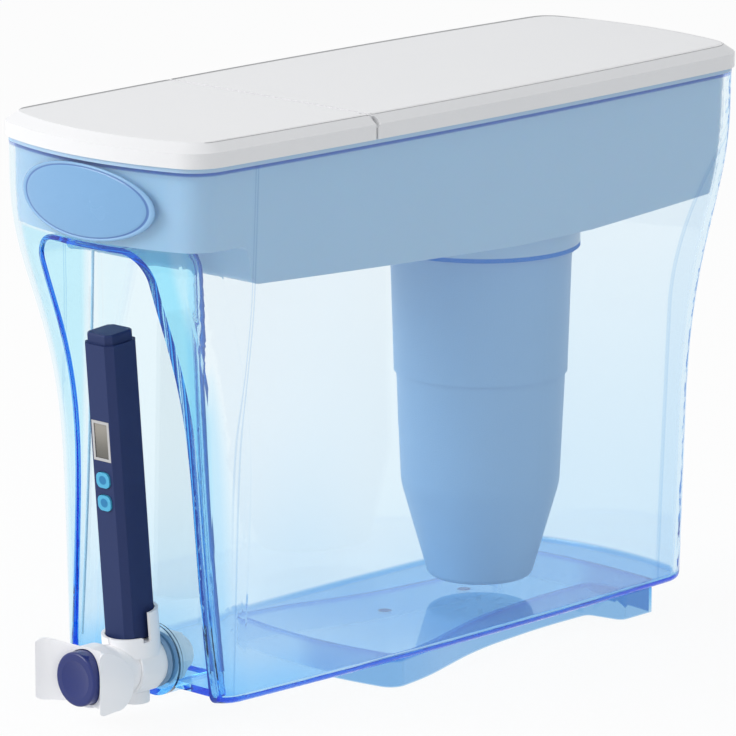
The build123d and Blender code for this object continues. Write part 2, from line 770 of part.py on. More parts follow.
def return_spring():
    """Coil spring between the bulkhead and the button."""
    front_y = button_face_y + button_dish + button_wall + spring_wire_radius + spring_end_gap
    rear_y = bulkhead_front_y - spring_wire_radius - spring_end_gap
    length = rear_y - front_y
    path = Helix(pitch=length / spring_turns, height=length, radius=spring_radius)
    section = Plane(origin=path @ 0, z_dir=path % 0) * RegularPolygon(spring_wire_radius, spring_wire_sides)
    coil = sweep(section, path=path)
    return Pos(0, front_y, tap_axis_z) * Rot(-90, 0, 0) * coil


def meter_place():
    """Place of the meter's foot, with local +Z up along the leaning meter and local -Y to the front."""
    lean = math.radians(meter_lean)
    return Plane((0, meter_foot_y, meter_foot_z), x_dir=(1, 0, 0), z_dir=(0, -math.sin(lean), math.cos(lean))).location


def meter_bar(low, high, inset=0.0):
    """Chamfered bar of the meter's section, or a smaller one, between two distances from its foot."""
    section = Rectangle(meter_width - 2 * inset, meter_depth - 2 * inset)
    section = chamfer(section.vertices(), meter_chamfer - inset / 2)
    return Pos(0, 0, low) * extrude(section, high - low)


def probe_cap():
    """Cap over the probes, open at its top."""
    cap = meter_bar(0, meter_seam)
    cap = chamfer(cap.edges().group_by(Axis.Z)[0], probe_cap_chamfer)
    return meter_place() * (cap - meter_bar(meter_wall, meter_seam + past, meter_wall))


def probe_offsets():
    """Places of the two probes across the meter."""
    return [(-probe_spacing / 2, 0), (probe_spacing / 2, 0)]


def neck_bottom():
    """Lower end of the casing's neck, inside the cap."""
    return meter_seam - meter_neck_length


def key_form(name, grow, depth):
    """Rounded block of a key at the casing's front, or its well, from the key's face inwards."""
    shape = RectangleRounded(key_width + 2 * grow, key_height + 2 * grow, key_corner + grow)
    front = Plane.XZ.offset(meter_depth / 2 + key_rise)
    return extrude(front * (Pos(0, key_middles[name]) * shape), -depth)


def display_form(inset, depth, start=0.0):
    """Block of the display's outline at the casing's front, from start to start + depth inwards."""
    shape = Rectangle(display_width - 2 * inset, display_height - 2 * inset)
    front = Plane.XZ.offset(meter_depth / 2 - start)
    return extrude(front * (Pos(0, display_middle) * shape), -depth)


def meter_casing():
    """Hollow pen body with wells for the display and the keys, and a neck that plugs into the cap."""
    casing = meter_bar(meter_seam, meter_casing_top)
    casing = casing + meter_bar(neck_bottom(), meter_seam + past, meter_wall + meter_fit)
    casing = casing - meter_bar(meter_seam + meter_floor, meter_casing_top + past, meter_cavity_wall)
    casing = casing - display_form(0, display_depth)
    for name in key_middles:
        casing = casing - key_form(name, key_gap, meter_cavity_wall + key_rise + past)
    for x, y in probe_offsets():
        low = neck_bottom() - past
        casing = casing - Pos(x, y, low) * extrude(Circle(probe_radius), probe_top() - low)
    return meter_place() * casing


def probe_top():
    """Upper end of the probes, inside the casing's floor."""
    return meter_seam + meter_floor - probe_cover


def meter_probes():
    """Two metal pins held in the neck."""
    low = probe_top() - probe_length
    pins = [Pos(x, y, low) * extrude(Circle(probe_radius), probe_length) for x, y in probe_offsets()]
    return Compound(children=[s for pin in pins for s in (meter_place() * pin).solids()])


def battery_cap():
    """Top cap with a plug that enters the casing."""
    cap = meter_bar(meter_casing_top, meter_casing_top + battery_cap_height, battery_cap_step)
    cap = chamfer(cap.edges().group_by(Axis.Z)[-1], battery_cap_chamfer)
    plug = meter_bar(meter_casing_top - battery_cap_plug, meter_casing_top + past, meter_cavity_wall + meter_fit)
    return meter_place() * (cap + plug)


def display_bezel():
    """Silver frame around the screen."""
    frame = display_form(meter_fit / 2, display_depth)
    return meter_place() * (frame - display_form(display_border, display_depth + 2 * past, -past))


def display_screen():
    """Grey screen inside the frame."""
    start = display_depth - display_screen_depth
    return meter_place() * display_form(display_border + meter_fit / 2, display_screen_depth, start)


def meter_key(name):
    """One press key in its well."""
    return meter_place() * key_form(name, 0, key_thickness)


def board_top():
    """Upper end of the circuit board, under the cells."""
    return meter_casing_top - battery_cap_plug - meter_fit - 2 * cell_height - meter_fit


def circuit_board():
    """Board behind the display and the keys."""
    low = meter_seam + meter_floor + meter_fit
    width = meter_width - 2 * meter_cavity_wall - 2 * meter_fit
    board = extrude(Pos(0, -board_offset) * Rectangle(width, board_thickness), board_top() - low)
    return meter_place() * Pos(0, 0, low) * board


def button_cells():
    """Two cells stacked under the top cap."""
    cells = extrude(Circle(cell_radius), 2 * cell_height)
    return meter_place() * Pos(0, 0, board_top() + meter_fit) * cells


def meter_holder():
    """Cup with a low front lip and a tall back, on a clip that snaps over the tap's barrel."""
    outer_radius = cup_inner_radius + cup_wall
    cup = Pos(0, 0, -cup_skirt) * extrude(Circle(outer_radius), cup_skirt + cup_front_height)
    back = extrude(Circle(outer_radius), cup_back_height) & slab((-reach, 0, 0), (reach, reach, reach))
    pocket = Pos(0, 0, -cup_floor_gap) * extrude(Circle(cup_inner_radius), cup_back_height + past)
    notch = slab((-reach, -cup_notch_width, -cup_floor_gap), (reach, 0, reach))
    cup = meter_place() * (cup + back)
    cup = cup & slab((-reach, -reach, tap_axis_z + tap_body_radius / 2), (reach, reach, reach))
    clip_inner = tap_body_radius + clip_gap
    clip = rod_y(clip_inner + clip_wall, spout_y - clip_front_length, spout_y + clip_rear_length)
    holder = cup + clip - meter_place() * (pocket + notch)
    holder = holder - rod_y(clip_inner, -reach, body_seat_y + past)
    holder = holder - rod_y(outer_washer_radius + clip_gap, body_seat_y - clip_gap, 0)
    opening = spout_radius + clip_wall / 2
    holder = holder - slab((-opening, -reach, 0), (opening, reach, tap_axis_z))
    hole = Pos(0, meter_foot_y - outer_radius, tap_axis_z + tap_body_radius) * Cylinder(drain_hole_radius, reach / 4)
    return holder - hole


pieces = {
    "tank_body": tank_body,
    "tank_foot": tank_foot,
    "front_badge": front_badge,
    "upper_reservoir": upper_reservoir,
    "lid_rear": lid_rear,
    "lid_flap": lid_flap,
    "hinge_pins": hinge_pins,
    "filter_gasket": filter_gasket,
    "filter_upper_shell": filter_upper_shell,
    "filter_lower_shell": filter_lower_shell,
    "filter_screen": filter_screen,
    "flow_spreader": flow_spreader,
    "carbon_bed": carbon_bed,
    "resin_bed": resin_bed,
    "outlet_membrane": outlet_membrane,
    "tap_body": tap_body,
    "outer_washer": outer_washer,
    "inner_washer": inner_washer,
    "tap_nut": tap_nut,
    "push_button": push_button,
    "valve_stem": valve_stem,
    "valve_seal": valve_seal,
    "return_spring": return_spring,
    "meter_holder": meter_holder,
    "probe_cap": probe_cap,
    "meter_casing": meter_casing,
    "meter_probes": meter_probes,
    "battery_cap": battery_cap,
    "display_bezel": display_bezel,
    "display_screen": display_screen,
    "circuit_board": circuit_board,
    "button_cells": button_cells,
}

os.makedirs("parts", exist_ok=True)
for name, make in pieces.items():
    export_step(make(), f"parts/{name}.step")
for name in key_middles:
    export_step(meter_key(name), f"parts/{name}.step")
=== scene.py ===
import math

import bmesh
import bpy
from mathutils import Matrix, Vector
from mathutils.bvhtree import BVHTree


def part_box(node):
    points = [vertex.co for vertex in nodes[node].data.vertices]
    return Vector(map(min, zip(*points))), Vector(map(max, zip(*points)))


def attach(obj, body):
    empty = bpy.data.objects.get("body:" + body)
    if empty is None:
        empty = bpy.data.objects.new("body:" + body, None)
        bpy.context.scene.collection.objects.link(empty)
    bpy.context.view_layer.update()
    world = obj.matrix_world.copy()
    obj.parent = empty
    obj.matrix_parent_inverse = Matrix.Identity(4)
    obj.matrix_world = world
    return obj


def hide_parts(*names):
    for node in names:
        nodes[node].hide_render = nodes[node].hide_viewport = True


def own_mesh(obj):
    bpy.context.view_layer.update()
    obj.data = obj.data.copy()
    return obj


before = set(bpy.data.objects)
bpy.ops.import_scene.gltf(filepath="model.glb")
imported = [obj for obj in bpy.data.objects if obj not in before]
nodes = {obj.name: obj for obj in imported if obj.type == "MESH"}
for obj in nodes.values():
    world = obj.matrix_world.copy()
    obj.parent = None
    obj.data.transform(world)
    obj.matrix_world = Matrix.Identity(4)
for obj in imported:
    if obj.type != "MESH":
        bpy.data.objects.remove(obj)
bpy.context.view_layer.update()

# Camera: a long lens, a little above the lid, that looks at the front corner
# between the tap end and the long side.
scene = bpy.context.scene


def add_object(name, data):
    """Puts a new object into the scene."""
    thing = bpy.data.objects.new(name, data)
    scene.collection.objects.link(thing)
    return thing


camera_place = Vector((1.9265, -2.0047, 0.7690))
camera_back = Vector((0.6760, -0.7024, 0.2226)).normalized()
camera_level = Vector((0.7205, 0.6934, 0.0)).normalized()
camera_up = camera_back.cross(camera_level).normalized()
camera_right = camera_up.cross(camera_back)
camera_turn = Matrix((camera_right, camera_up, camera_back)).transposed().to_4x4()
camera_data = bpy.data.cameras.new("camera")
camera_data.lens = 305.2
camera_data.sensor_width = 36.0
camera_data.sensor_height = 36.0
camera_data.sensor_fit = "HORIZONTAL"
camera_data.clip_end = 60.0
camera = add_object("camera", camera_data)
camera.matrix_world = Matrix.Translation(camera_place) @ camera_turn
scene.camera = camera
scene.view_settings.view_transform = "Standard"
# a ray meets many faces of clear plastic before it leaves the tank
clear_bounces = 24
scene.cycles.max_bounces = clear_bounces
scene.cycles.transmission_bounces = clear_bounces
scene.cycles.glossy_bounces = clear_bounces


# Studio: a plain white sweep under the dispenser. The floor is matt card that
# keeps the soft shadow, and the room around it is white.
def feed(tree, socket, value):
    """Gives a node's input another node's output, a plain colour, or a number."""
    if isinstance(value, bpy.types.NodeSocket):
        tree.links.new(value, socket)
    elif isinstance(value, tuple):
        socket.default_value = (*value, 1.0)
    else:
        socket.default_value = value


def add_node(tree, kind, values=(), **settings):
    """Adds a shader node with these settings, and feeds its inputs by name."""
    node = tree.nodes.new("ShaderNode" + kind)
    for name, setting in settings.items():
        setattr(node, name, setting)
    for name, value in dict(values).items():
        feed(tree, node.inputs[name], value)
    return node


def calculate(tree, operation, *numbers):
    """Result of a Math node. Each number may be a socket or a plain number."""
    node = add_node(tree, "Math", operation=operation)
    for socket, number in zip(node.inputs, numbers):
        feed(tree, socket, number)
    return node.outputs[0]


def mix_shader(tree, share, first, second):
    """Mix Shader node that goes from the first to the second as the share rises."""
    mix = add_node(tree, "MixShader", {"Fac": share})
    tree.links.new(first, mix.inputs[1])
    tree.links.new(second, mix.inputs[2])
    return mix


def looked_at(tree):
    """1 for a ray that looks at the studio, also through glass or by a gloss, and 0 for one that gathers light."""
    path = add_node(tree, "LightPath").outputs
    seen = calculate(tree, "MAXIMUM", path["Is Camera Ray"], path["Is Transmission Ray"])
    return calculate(tree, "MAXIMUM", seen, path["Is Glossy Ray"])


world = bpy.data.worlds.new("studio")
scene.world = world
world.use_nodes = True
world_tree = world.node_tree
world_tree.nodes.clear()
room_light = add_node(world_tree, "Background", {"Color": (0.96, 0.98, 1.0), "Strength": 0.64})
room_white = add_node(world_tree, "Background", {"Color": (1.0, 1.0, 1.0), "Strength": 1.0})
room = mix_shader(world_tree, looked_at(world_tree), room_light.outputs[0], room_white.outputs[0])
add_node(world_tree, "OutputWorld", {"Surface": room.outputs[0]})

floor_half = 12.0
floor_mesh = bpy.data.meshes.new("floor")
floor_mesh.from_pydata([(-floor_half, -floor_half, 0), (floor_half, -floor_half, 0),
                        (floor_half, floor_half, 0), (-floor_half, floor_half, 0)], [], [(0, 1, 2, 3)])
floor = add_object("floor", floor_mesh)
floor_card = bpy.data.materials.new("floor_card")
floor_card.use_nodes = True
floor_tree = floor_card.node_tree
floor_tree.nodes.clear()
card_noise = add_node(floor_tree, "TexNoise", {"Scale": 3.0})
card_tone = add_node(floor_tree, "MapRange", {"Value": card_noise.outputs["Fac"], "To Min": 0.90, "To Max": 0.92})
card_matt = add_node(floor_tree, "BsdfDiffuse", {"Color": card_tone.outputs["Result"]})
card_white = add_node(floor_tree, "Emission", {"Color": (1.0, 1.0, 1.0), "Strength": 1.0})
most_white = 0.92
card_white_share = calculate(floor_tree, "MULTIPLY", looked_at(floor_tree), most_white)
card = mix_shader(floor_tree, card_white_share, card_matt.outputs[0], card_white.outputs[0])
add_node(floor_tree, "OutputMaterial", {"Surface": card.outputs[0]})
floor_mesh.materials.append(floor_card)


lamp_target = Vector((0, 0, 0.14))


def soft_box(name, place, width, height, watts, tint):
    """A large area lamp that faces the middle of the dispenser."""
    data = bpy.data.lights.new(name, "AREA")
    data.shape = "RECTANGLE"
    data.size = width
    data.size_y = height
    data.energy = watts
    data.color = tint
    lamp = add_object(name, data)
    lamp.location = place
    lamp.rotation_euler = (lamp_target - Vector(place)).to_track_quat("-Z", "Y").to_euler()


soft_box("key_box", (-0.9, -1.7, 1.3), 1.2, 1.2, 26.0, (1.0, 0.99, 0.98))
soft_box("top_box", (0.3, 0.4, 1.8), 1.4, 1.4, 1.5, (1.0, 1.0, 1.0))
soft_box("side_box", (1.9, -0.7, 0.9), 0.9, 1.2, 1.5, (0.97, 0.99, 1.0))


# Tank: clear blue styrene, injection moulded in one piece, glossy on both faces.
# The tint is in the plastic itself, so the walls look pale; their navy edges come partly from the tint and partly
# from a painted glow.
def node_group(name, inputs, outputs):
    """A shader node group with these sockets, each name with its kind. Gives the group and its two end nodes."""
    group = bpy.data.node_groups.new(name, "ShaderNodeTree")
    for in_out, sockets in (("INPUT", inputs), ("OUTPUT", outputs)):
        for socket, kind in sockets.items():
            group.interface.new_socket(socket, in_out=in_out, socket_type="NodeSocket" + kind)
    return group, group.nodes.new("NodeGroupInput"), group.nodes.new("NodeGroupOutput")


moulded, moulded_in, moulded_out = node_group(
    "moulded_surface",
    {"Color": "Color", "Tone Change": "Float", "Roughness": "Float", "Roughness Change": "Float",
     "Grain Scale": "Float", "Grain Height": "Float", "Ripple Height": "Float"},
    {"Color": "Color", "Roughness": "Float", "Height": "Float"})
asked = moulded_in.outputs
moulded_place = add_node(moulded, "TexCoord").outputs["Object"]
cloud = add_node(moulded, "TexNoise", {"Vector": moulded_place, "Scale": 22.0, "Detail": 3.0})
grain = add_node(moulded, "TexNoise", {"Vector": moulded_place, "Scale": asked["Grain Scale"], "Detail": 2.0})
ripple = add_node(moulded, "TexNoise", {"Vector": moulded_place, "Scale": 14.0, "Detail": 0.0})
noise_middle = 0.5
change = calculate(moulded, "SUBTRACT", cloud.outputs["Fac"], noise_middle)
tone = calculate(moulded, "MULTIPLY_ADD", change, asked["Tone Change"], 1.0)
toned = add_node(moulded, "VectorMath", {"Vector": asked["Color"], "Scale": tone}, operation="SCALE")
gloss = calculate(moulded, "MULTIPLY_ADD", change, asked["Roughness Change"], asked["Roughness"])
grain_rise = calculate(moulded, "MULTIPLY", grain.outputs["Fac"], asked["Grain Height"])
skin_rise = calculate(moulded, "MULTIPLY_ADD", ripple.outputs["Fac"], asked["Ripple Height"], grain_rise)
feed(moulded, moulded_out.inputs["Color"], toned.outputs[0])
feed(moulded, moulded_out.inputs["Roughness"], gloss)
feed(moulded, moulded_out.inputs["Height"], skin_rise)


def plastic(name, color, roughness, tone_change=0.06, roughness_change=0.08, grain_scale=1400.0, grain_height=0.15,
            ripple_height=0.0, own=()):
    """A moulded material: its tone, gloss and grain vary over the surface. own holds the shader's other inputs."""
    material = bpy.data.materials.new(name)
    material.use_nodes = True
    tree = material.node_tree
    surface = add_node(tree, "Group", node_tree=moulded, name="surface")
    for socket, value in (("Color", color), ("Tone Change", tone_change), ("Roughness", roughness),
                          ("Roughness Change", roughness_change), ("Grain Scale", grain_scale),
                          ("Grain Height", grain_height), ("Ripple Height", ripple_height)):
        feed(tree, surface.inputs[socket], value)
    bump = add_node(tree, "Bump", {"Strength": 0.5, "Distance": 0.0005, "Height": surface.outputs["Height"]})
    shader = shader_of(material)
    tree.links.new(surface.outputs["Color"], shader.inputs["Base Color"])
    tree.links.new(surface.outputs["Roughness"], shader.inputs["Roughness"])
    tree.links.new(bump.outputs["Normal"], shader.inputs["Normal"])
    for socket, value in dict(own).items():
        shader.inputs[socket].default_value = value
    return material


def shader_of(material):
    """The material's Principled shader."""
    return material.node_tree.nodes["Principled BSDF"]


def surface_color(material):
    """The colour that the moulded surface gives a material, as a socket."""
    return material.node_tree.nodes["surface"].outputs["Color"]


def paint(material, color):
    """Feeds the material's shader another colour."""
    material.node_tree.links.new(color, shader_of(material).inputs["Base Color"])


def finish(material, *names):
    """Gives CAD nodes their material."""
    for name in names:
        nodes[name].data.materials.clear()
        nodes[name].data.materials.append(material)


def place_in(tree):
    """X, Y and Z of the shaded point in the row frame, as sockets."""
    place = add_node(tree, "TexCoord").outputs["Object"]
    return add_node(tree, "SeparateXYZ", {"Vector": place}).outputs


def ease(tree, value, low, high, to_low=0.0, to_high=1.0):
    """Number that goes smoothly from to_low to to_high as a value goes from low to high."""
    step = add_node(tree, "MapRange", {"Value": value, "From Min": low, "From Max": high,
                                       "To Min": to_low, "To Max": to_high}, interpolation_type="SMOOTHSTEP")
    return step.outputs["Result"]


def fall(tree, value, low, high):
    """Mask that goes smoothly from 1 to 0 as a value goes from low to high."""
    return ease(tree, value, low, high, 1.0, 0.0)


def overlap(tree, *masks):
    """Mask that is whole only where all of these are."""
    whole = masks[0]
    for mask in masks[1:]:
        whole = calculate(tree, "MULTIPLY", whole, mask)
    return whole


def blend_color(tree, share, first, second, blend_type="MIX"):
    """Colour that goes from the first to the second as the share rises. Each may be a socket or plain."""
    mix = add_node(tree, "Mix", data_type="RGBA", blend_type=blend_type)
    for socket, value in (("Factor", share), ("A", first), ("B", second)):
        feed(tree, mix.inputs[socket], value)
    return mix.outputs["Result"]


def stain(tree, color, strength, tint):
    """Colour multiplied by a tint, as far as the strength goes."""
    return blend_color(tree, strength, color, tint, "MULTIPLY")


clear_blue = plastic("clear_blue_styrene", (1.0, 1.0, 1.0), 0.02, tone_change=0.01, roughness_change=0.02,
                     grain_height=0.0, ripple_height=0.004, own={"Transmission Weight": 1.0, "IOR": 1.5})
clear_tree = clear_blue.node_tree
clear_x, clear_y, clear_z = place_in(clear_tree)
clear_side = calculate(clear_tree, "ABSOLUTE", clear_x)
# painted shade: the walls are stained deep blue on the floor, for the tinted shadow under the tank seen through it,
# fading through pale blue to clear by mid height; the stain is weaker towards the front, and the lower front and its
# toe are stained bluer
floor_top = 0.0165
corner_top = 0.0185
pale_from = 0.1875
ramp_top = 0.25
ramp_share = calculate(clear_tree, "DIVIDE", clear_z, ramp_top)
clear_rise = add_node(clear_tree, "ValToRGB", {"Fac": ramp_share}, name="rise")
clear_stops = clear_rise.color_ramp.elements
clear_stops[0].position = floor_top / ramp_top
# painted shade: the deep blue at the floor stands for the tinted shadow under the tank
clear_stops[0].color = (0.15, 0.44, 0.80, 1.0)
clear_stops[1].position = pale_from / ramp_top
clear_stops[1].color = (1.0, 1.0, 1.0, 1.0)
clear_stops.new(corner_top / ramp_top).color = (0.88, 0.95, 0.995, 1.0)
clear_color = stain(clear_tree, surface_color(clear_blue), ease(clear_tree, clear_y, -0.15, 0.04, 0.12, 1.0),
                    clear_rise.outputs["Color"])
clear_lower = overlap(clear_tree, fall(clear_tree, clear_z, 0.03, 0.11), fall(clear_tree, clear_y, 0.0, 0.06))
clear_color = stain(clear_tree, clear_color, clear_lower, (0.89, 0.955, 1.0))
clear_toe = overlap(clear_tree, fall(clear_tree, clear_z, 0.016, 0.040), fall(clear_tree, clear_y, -0.12, -0.02))
clear_color = stain(clear_tree, clear_color, clear_toe, (0.62, 0.85, 1.0))
# the alcove's side walls and the near corner at its back are a deeper blue, and its back wall a paler one
alcove_inside = fall(clear_tree, clear_side, 0.044, 0.048)
alcove_walls = overlap(clear_tree, fall(clear_tree, clear_y, -0.150, -0.146),
                       fall(clear_tree, clear_z, 0.2195, 0.2215), alcove_inside)
clear_color = stain(clear_tree, clear_color, alcove_walls, (0.70, 0.94, 1.0))
alcove_corner = overlap(clear_tree, fall(clear_tree, clear_y, -0.134, -0.131),
                        ease(clear_tree, clear_y, -0.154, -0.151),
                        ease(clear_tree, clear_x, 0.029, 0.033), fall(clear_tree, clear_x, 0.049, 0.052))
clear_color = stain(clear_tree, clear_color, alcove_corner, (0.74, 0.91, 1.0))
alcove_back = overlap(clear_tree, fall(clear_tree, clear_y, -0.136, -0.134), alcove_inside)
clear_color = stain(clear_tree, clear_color, alcove_back, (0.94, 0.99, 1.0))
# a fine mould line stands on each side wall at the alcove's back, and another bends back with the rear flare
outer_wall = ease(clear_tree, clear_side, 0.050, 0.052)
front_line_back = ease(clear_tree, clear_z, 0.13, 0.20, 0.1415, 0.1375)
from_front_line = calculate(clear_tree, "ABSOLUTE", calculate(clear_tree, "ADD", clear_y, front_line_back))
front_line = overlap(clear_tree, fall(clear_tree, from_front_line, 0.0002, 0.0006), outer_wall)
clear_color = stain(clear_tree, clear_color, front_line, (0.62, 0.74, 0.88))
flare_foot = 0.150
flare_bend = 6.3
rear_line_y = 0.1385
over_flare = calculate(clear_tree, "MAXIMUM", calculate(clear_tree, "SUBTRACT", clear_z, flare_foot), 0.0)
flare = calculate(clear_tree, "MULTIPLY", calculate(clear_tree, "POWER", over_flare, 2.0), flare_bend)
behind_rear = calculate(clear_tree, "SUBTRACT", calculate(clear_tree, "SUBTRACT", clear_y, rear_line_y), flare)
from_rear_line = calculate(clear_tree, "ABSOLUTE", behind_rear)
rear_line = overlap(clear_tree, fall(clear_tree, from_rear_line, 0.0003, 0.0012), outer_wall)
clear_color = stain(clear_tree, clear_color, rear_line, (0.60, 0.75, 0.90))
clear_color = stain(clear_tree, clear_color, ease(clear_tree, behind_rear, 0.0, 0.002), (0.90, 0.945, 0.985))
# painted shade: the rim's upper edge is stained dark blue for the shadow in the gap under the lid
clear_color = stain(clear_tree, clear_color, ease(clear_tree, clear_z, 0.2546, 0.2552), (0.28, 0.36, 0.72))
# two round gate marks on the floor, where the plastic went in: the square of their radius, and of their soft edge's
gate_aside = 0.005
gate_square, gate_edge_square = 0.0000080, 0.0000130
for gate_y in (0.0123, 0.0660):
    across = calculate(clear_tree, "POWER", calculate(clear_tree, "ADD", clear_x, gate_aside), 2.0)
    along = calculate(clear_tree, "POWER", calculate(clear_tree, "SUBTRACT", clear_y, gate_y), 2.0)
    gate = fall(clear_tree, calculate(clear_tree, "ADD", across, along), gate_square, gate_edge_square)
    gate = overlap(clear_tree, gate, ease(clear_tree, clear_z, 0.0150, 0.0160))
    clear_color = stain(clear_tree, clear_color, gate, (0.015, 0.06, 0.20))
paint(clear_blue, clear_color)
# light passes into the tank: shadow and diffuse rays go through its walls. A ray that stays in the tank's plastic
# for more than 17 bounces ends in a painted glow, a navy emission that stands in for the light it would bring, paler
# on the far side and at the rear end
clear_path = add_node(clear_tree, "LightPath").outputs
clear_lit = calculate(clear_tree, "MAXIMUM", clear_path["Is Shadow Ray"], clear_path["Is Diffuse Ray"])
clear_through = add_node(clear_tree, "BsdfTransparent", {"Color": (0.95, 0.98, 1.0)})
clear_shade = mix_shader(clear_tree, clear_lit, shader_of(clear_blue).outputs[0], clear_through.outputs[0])
clear_shade.name = "shade"
caught_depth = 17.5
clear_caught = calculate(clear_tree, "GREATER_THAN", clear_path["Ray Depth"], caught_depth)
clear_far_side = fall(clear_tree, clear_x, -0.034, -0.020)
clear_painted_glow_color = blend_color(clear_tree, clear_far_side, (0.020, 0.085, 0.36), (0.34, 0.58, 0.84))
clear_rear_end = overlap(clear_tree, ease(clear_tree, clear_z, 0.028, 0.034), ease(clear_tree, clear_y, 0.10, 0.11))
clear_painted_glow_color = blend_color(clear_tree, clear_rear_end, clear_painted_glow_color, (0.28, 0.42, 0.68))
clear_painted_glow = add_node(clear_tree, "Emission", {"Color": clear_painted_glow_color, "Strength": 1.0})
clear_edge = mix_shader(clear_tree, clear_caught, clear_shade.outputs[0], clear_painted_glow.outputs[0])
clear_tint = add_node(clear_tree, "VolumeAbsorption", {"Color": (0.26, 0.78, 1.0), "Density": 30.0})
clear_out = clear_tree.nodes["Material Output"]
clear_tree.links.new(clear_edge.outputs[0], clear_out.inputs["Surface"])
clear_tree.links.new(clear_tint.outputs[0], clear_out.inputs["Volume"])
finish(clear_blue, "tank_body")

# Foot: the tank's own skirt. Its near walls are stained a deeper blue than the walls as painted shade, and it is
# bluer near its top. It is one with the floor, so its top edge has no surface there and only shows as a blue band
# through the floor.
foot_blue = clear_blue.copy()
foot_blue.name = "foot_blue"
foot_tree = foot_blue.node_tree
for stop in foot_tree.nodes["rise"].color_ramp.elements:
    stop.color = (1.0, 1.0, 1.0, 1.0)
foot_place = place_in(foot_tree)
foot_color = shader_of(foot_blue).inputs["Base Color"].links[0].from_socket
# painted shade: the near walls are stained deep blue for the shadow under the tank seen through them; the top of the
# skirt is stained bluer still
foot_near_shade = ease(foot_tree, foot_place["X"], -0.01, 0.01, 0.12, 1.0)
foot_color = stain(foot_tree, foot_color, foot_near_shade, (0.24, 0.47, 0.76))
foot_upper = ease(foot_tree, foot_place["Z"], 0.0112, 0.0122)
foot_color = stain(foot_tree, foot_color, foot_upper, (0.30, 0.58, 0.92))
paint(foot_blue, foot_color)
foot_shade = foot_tree.nodes["shade"]
foot_next = foot_shade.outputs[0].links[0].to_socket
foot_top_z = 0.01345
foot_top = calculate(foot_tree, "GREATER_THAN", foot_place["Z"], foot_top_z)
foot_open = add_node(foot_tree, "BsdfTransparent", {"Color": (0.42, 0.64, 0.90)})
foot_surface = mix_shader(foot_tree, foot_top, foot_shade.outputs[0], foot_open.outputs[0])
foot_tree.links.new(foot_surface.outputs[0], foot_next)
finish(foot_blue, "tank_foot")

# Alcove's rear edge: the moulding is thickest where its side walls and ceiling meet its back, and shows
# there as a dark blue line inside the tank. It is a round bead of the tank's own plastic.
edge_blue = plastic("edge_blue", (0.055, 0.16, 0.52), 0.12, tone_change=0.10, own={"Coat Weight": 0.3})
edge_tree = edge_blue.node_tree
edge_near = ease(edge_tree, place_in(edge_tree)["X"], -0.030, -0.010)
paint(edge_blue, blend_color(edge_tree, edge_near, (0.62, 0.82, 0.94), surface_color(edge_blue)))
# the arch in the alcove's back wall: half width and height of each point, and where it faces
arch_foot_x, arch_foot_z = 0.0450, 0.022
arch_lean, arch_bow = 0.0156, 0.0043
arch_corner_x, arch_corner_z = 0.0207, 0.2072
arch_corner_radius = 0.0130
side_steps, corner_steps, ceiling_steps = 30, 12, 3
arch = []
for step in range(1, side_steps + 1):
    share = step / side_steps
    x = arch_foot_x - arch_lean * share + arch_bow * share * share
    arch.append((x, arch_foot_z + (arch_corner_z - arch_foot_z) * share, 0.0))
for step in range(1, corner_steps + 1):
    turn = math.radians(90 * step / corner_steps)
    x = arch_corner_x + arch_corner_radius * math.cos(turn)
    arch.append((x, arch_corner_z + arch_corner_radius * math.sin(turn), turn))
for step in range(1, ceiling_steps + 1):
    x = arch_corner_x * (1 - step / ceiling_steps)
    arch.append((x, arch_corner_z + arch_corner_radius, math.pi / 2))
arch += [(-x, z, math.pi - turn) for x, z, turn in reversed(arch[:-1])]
tank_mesh = nodes["tank_body"].data
tank_skin = BVHTree.FromPolygons([v.co for v in tank_mesh.vertices], [p.vertices[:] for p in tank_mesh.polygons])
arch_y = -0.143
look_from = 0.007
bead_radius = 0.0008
bead_lift = 0.0007
bead_line = []
for x, z, turn in arch:
    outward = Vector((math.cos(turn), 1.0, math.sin(turn))).normalized()
    hit = tank_skin.ray_cast(Vector((x, arch_y, z)) + outward * look_from, -outward)[0]
    if hit:
        bead_line.append(hit + outward * bead_lift)
bead_curve = bpy.data.curves.new("alcove_edge", "CURVE")
bead_curve.dimensions = "3D"
bead_curve.bevel_depth = bead_radius
bead_curve.bevel_resolution = 3
bead_curve.use_fill_caps = True
bead_spline = bead_curve.splines.new("NURBS")
bead_spline.points.add(len(bead_line) - 1)
for point, spot in zip(bead_spline.points, bead_line):
    point.co = (*spot, 1.0)
bead_spline.order_u = 5
bead_spline.use_endpoint_u = True
bead_curve.materials.append(edge_blue)
alcove_edge = add_object("alcove_edge", bead_curve)
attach(alcove_edge, "tank")

# Upper reservoir: opaque light-blue polypropylene with a satin skin, one moulding
# that hangs on the tank's rim.
reservoir_plastic = plastic("reservoir_plastic", (0.39, 0.565, 0.75), 0.32, tone_change=0.05,
                            own={"Subsurface Weight": 0.15, "Subsurface Scale": 0.004})
finish(reservoir_plastic, "upper_reservoir")

